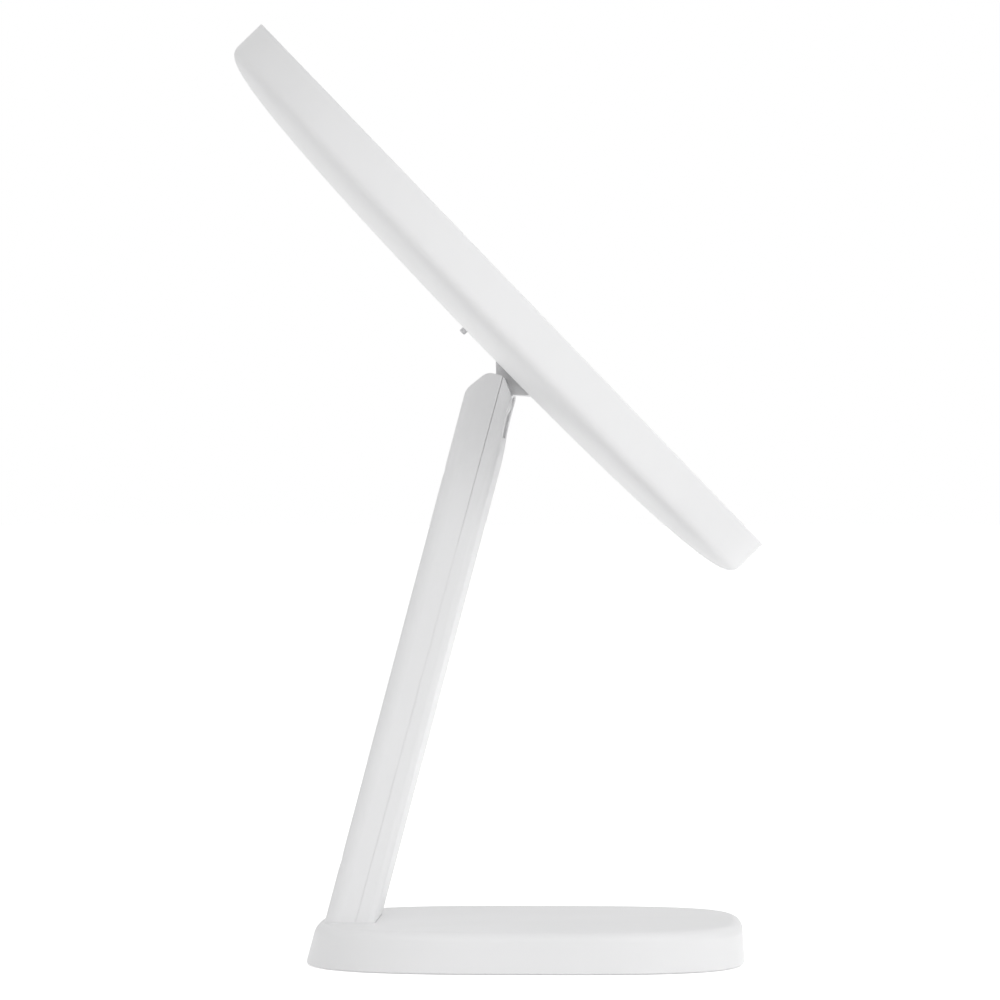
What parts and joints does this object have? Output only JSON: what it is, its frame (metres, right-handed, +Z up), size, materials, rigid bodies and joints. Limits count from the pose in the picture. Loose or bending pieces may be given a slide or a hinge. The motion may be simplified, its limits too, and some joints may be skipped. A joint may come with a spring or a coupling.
{
  "type": "lighted makeup mirror",
  "caption": "Round lighted makeup mirror whose head tilts on a friction hinge at the top of a leaning slab arm, on a low rounded base, with a slide switch on the back.",
  "frame": {"origin": "middle of the underside of the grip pad, on the table", "axes": "+Z up, +X the way the glass looks, +Y to the left of someone looking along +X"},
  "size_m": [0.1458, 0.2, 0.2588],
  "materials": {
    "white_shell": "satin white moulded plastic",
    "inner_plastic": "fine-grained white moulded plastic",
    "grip_rubber": "matt grey silicone with a fine grain",
    "mirror_glass": "silvered float glass with a ground edge",
    "diffuser": "milky diffusing plastic",
    "adhesive": "white foam tape",
    "white_board": "white solder mask with light chips",
    "green_board": "green solder mask with dark chips",
    "black_plastic": "black moulded plastic",
    "steel": "zinc-plated steel",
    "brass": "plain brass",
    "battery_foil": "laminated foil pouch",
    "lead_red": "soft insulation",
    "lead_black": "soft insulation",
    "lead_grey": "soft insulation",
    "lead_blue": "soft insulation",
    "switch_grey": "light grey moulded plastic with a fine grain"
  },
  "bodies": {
    "stand": {"base_top_shell": "white_shell", "arm_rear_shell": "white_shell", "arm_front_shell": "white_shell", "base_bottom_cover": "inner_plastic", "friction_washer_near": "inner_plastic", "friction_washer_far": "inner_plastic", "base_grip_pad": "grip_rubber", "base_ballast_plate": "steel", "arm_spine": "steel", "hinge_pin": "steel", "base_cover_screw_1": "steel", "base_cover_screw_2": "steel", "base_cover_screw_3": "steel", "base_cover_screw_4": "steel", "arm_foot_screw_1": "steel", "arm_foot_screw_2": "steel", "ballast_screw_1": "steel", "ballast_screw_2": "steel", "arm_shell_screw_1": "steel", "arm_shell_screw_2": "steel", "arm_shell_screw_3": "steel", "arm_shell_screw_4": "steel", "spine_screw_1": "steel", "spine_screw_2": "steel"},
    "head": {"head_back_shell": "white_shell", "hinge_knuckle": "inner_plastic", "mirror_carrier": "inner_plastic", "mirror_glass": "mirror_glass", "light_diffuser_ring": "diffuser", "mirror_adhesive_sheet": "adhesive", "led_ring_board": "white_board", "control_board": "green_board", "switch_body": "black_plastic", "usb_c_socket": "steel", "carrier_screw_1": "steel", "carrier_screw_2": "steel", "carrier_screw_3": "steel", "carrier_screw_4": "steel", "carrier_screw_5": "steel", "carrier_screw_6": "steel", "board_screw_1": "steel", "board_screw_2": "steel", "board_screw_3": "steel", "board_screw_4": "steel", "knuckle_screw_1": "steel", "knuckle_screw_2": "steel", "knuckle_screw_3": "steel", "knuckle_screw_4": "steel", "battery_cell": "battery_foil", "touch_sensor_pad": "brass", "battery_lead_positive": "lead_red", "battery_lead_negative": "lead_black", "led_ring_lead": "lead_grey", "touch_sensor_lead": "lead_blue"},
    "switch": {"power_switch_knob": "switch_grey"}
  },
  "joints": [
    {"name": "head_tilt", "type": "hinge", "parent": "stand", "child": "head", "pos_m": [-0.00993, 0, 0.15484], "axis": [0, 1, 0], "range_deg": [-46, 55]},
    {"name": "power_switch", "type": "slide", "parent": "head", "child": "switch", "axis": [0, 1, 0], "range_m": [0, 0.003]}
  ]
}
